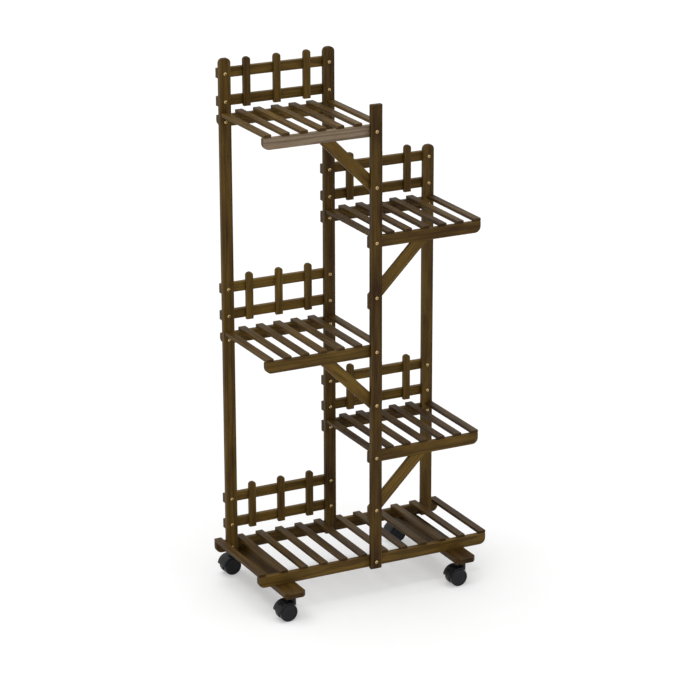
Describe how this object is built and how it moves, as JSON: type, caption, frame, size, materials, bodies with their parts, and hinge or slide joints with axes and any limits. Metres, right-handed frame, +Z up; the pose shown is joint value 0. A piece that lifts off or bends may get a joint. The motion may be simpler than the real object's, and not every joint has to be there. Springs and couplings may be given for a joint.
{
  "type": "flower cart stand",
  "caption": "Tall slatted wooden flower stand with staggered side shelves, picket backs and diagonal braces, on swivel casters with brakes.",
  "frame": {"origin": "on the floor under the middle of the footprint, casters included", "axes": "+X right along the long side seen from the front, +Y to the fenced back, +Z up"},
  "size_m": [0.554, 0.328, 1.174],
  "materials": {
    "stained_wood": "satin walnut-brown stain over visible grain",
    "brass_screws": "yellow-passivated round heads",
    "zinc_steel": "bright zinc",
    "black_nylon": "fine satin moulded",
    "black_wheels": "smooth satin moulded"
  },
  "bodies": {
    "frame": {"base_rail_back": "stained_wood", "base_rail_front": "stained_wood", "base_slats": "stained_wood", "brace_left_lower": "stained_wood", "brace_left_upper": "stained_wood", "brace_right_lower": "stained_wood", "brace_right_upper": "stained_wood", "caster_inserts": "zinc_steel", "caster_stems": "zinc_steel", "crossbar_left": "stained_wood", "crossbar_right": "stained_wood", "fence_left_base_pickets": "stained_wood", "fence_left_base_rails": "stained_wood", "fence_left_lower_pickets": "stained_wood", "fence_left_lower_rails": "stained_wood", "fence_left_upper_pickets": "stained_wood", "fence_left_upper_rails": "stained_wood", "fence_right_lower_pickets": "stained_wood", "fence_right_lower_rails": "stained_wood", "fence_right_upper_pickets": "stained_wood", "fence_right_upper_rails": "stained_wood", "left_lower_rail_back": "stained_wood", "left_lower_rail_front": "stained_wood", "left_lower_slats": "stained_wood", "left_upper_rail_back": "stained_wood", "left_upper_rail_front": "stained_wood", "left_upper_slats": "stained_wood", "post_back_left": "stained_wood", "post_back_middle": "stained_wood", "post_back_right": "stained_wood", "post_front": "stained_wood", "right_lower_rail_back": "stained_wood", "right_lower_rail_front": "stained_wood", "right_lower_slats": "stained_wood", "right_upper_rail_back": "stained_wood", "right_upper_rail_front": "stained_wood", "right_upper_slats": "stained_wood", "screws_back_posts": "brass_screws", "screws_crossbars": "brass_screws", "screws_front_post": "brass_screws"},
    "swivel_front_left": {"caster_front_left_hood": "black_nylon", "caster_front_left_axle": "zinc_steel"},
    "wheel_front_left_outer": {"caster_front_left_wheel_outer": "black_wheels"},
    "wheel_front_left_inner": {"caster_front_left_wheel_inner": "black_wheels"},
    "brake_front_left": {"caster_front_left_lever": "black_nylon"},
    "swivel_front_right": {"caster_front_right_hood": "black_nylon", "caster_front_right_axle": "zinc_steel"},
    "wheel_front_right_outer": {"caster_front_right_wheel_outer": "black_wheels"},
    "wheel_front_right_inner": {"caster_front_right_wheel_inner": "black_wheels"},
    "brake_front_right": {"caster_front_right_lever": "black_nylon"},
    "swivel_back_left": {"caster_back_left_hood": "black_nylon", "caster_back_left_axle": "zinc_steel"},
    "wheel_back_left_outer": {"caster_back_left_wheel_outer": "black_wheels"},
    "wheel_back_left_inner": {"caster_back_left_wheel_inner": "black_wheels"},
    "swivel_back_right": {"caster_back_right_hood": "black_nylon", "caster_back_right_axle": "zinc_steel"},
    "wheel_back_right_outer": {"caster_back_right_wheel_outer": "black_wheels"},
    "wheel_back_right_inner": {"caster_back_right_wheel_inner": "black_wheels"}
  },
  "joints": [
    {"name": "turn_front_left", "type": "hinge", "parent": "frame", "child": "swivel_front_left", "pos_m": [-0.215, -0.142, 0.044], "axis": [0, 0, 1], "continuous": true},
    {"name": "roll_front_left_outer", "type": "hinge", "parent": "swivel_front_left", "child": "wheel_front_left_outer", "pos_m": [-0.22998, -0.14278, 0.02], "axis": [0.0523, -0.9986, 0], "continuous": true},
    {"name": "roll_front_left_inner", "type": "hinge", "parent": "swivel_front_left", "child": "wheel_front_left_inner", "pos_m": [-0.22998, -0.14278, 0.02], "axis": [0.0523, -0.9986, 0], "continuous": true},
    {"name": "press_front_left", "type": "hinge", "parent": "swivel_front_left", "child": "brake_front_left", "pos_m": [-0.24344, -0.14349, 0.03925], "axis": [0.0523, -0.9986, 0], "range_deg": [0, 18]},
    {"name": "turn_front_right", "type": "hinge", "parent": "frame", "child": "swivel_front_right", "pos_m": [0.199, -0.142, 0.044], "axis": [0, 0, 1], "continuous": true},
    {"name": "roll_front_right_outer", "type": "hinge", "parent": "swivel_front_right", "child": "wheel_front_right_outer", "pos_m": [0.18402, -0.14278, 0.02], "axis": [0.0523, -0.9986, 0], "continuous": true},
    {"name": "roll_front_right_inner", "type": "hinge", "parent": "swivel_front_right", "child": "wheel_front_right_inner", "pos_m": [0.18402, -0.14278, 0.02], "axis": [0.0523, -0.9986, 0], "continuous": true},
    {"name": "press_front_right", "type": "hinge", "parent": "swivel_front_right", "child": "brake_front_right", "pos_m": [0.17056, -0.14349, 0.03925], "axis": [0.0523, -0.9986, 0], "range_deg": [0, 18]},
    {"name": "turn_back_left", "type": "hinge", "parent": "frame", "child": "swivel_back_left", "pos_m": [-0.215, 0.142, 0.044], "axis": [0, 0, 1], "continuous": true},
    {"name": "roll_back_left_outer", "type": "hinge", "parent": "swivel_back_left", "child": "wheel_back_left_outer", "pos_m": [-0.22998, 0.14122, 0.02], "axis": [0.0523, -0.9986, 0], "continuous": true},
    {"name": "roll_back_left_inner", "type": "hinge", "parent": "swivel_back_left", "child": "wheel_back_left_inner", "pos_m": [-0.22998, 0.14122, 0.02], "axis": [0.0523, -0.9986, 0], "continuous": true},
    {"name": "turn_back_right", "type": "hinge", "parent": "frame", "child": "swivel_back_right", "pos_m": [0.199, 0.142, 0.044], "axis": [0, 0, 1], "continuous": true},
    {"name": "roll_back_right_outer", "type": "hinge", "parent": "swivel_back_right", "child": "wheel_back_right_outer", "pos_m": [0.18402, 0.14122, 0.02], "axis": [0.0523, -0.9986, 0], "continuous": true},
    {"name": "roll_back_right_inner", "type": "hinge", "parent": "swivel_back_right", "child": "wheel_back_right_inner", "pos_m": [0.18402, 0.14122, 0.02], "axis": [0.0523, -0.9986, 0], "continuous": true}
  ]
}
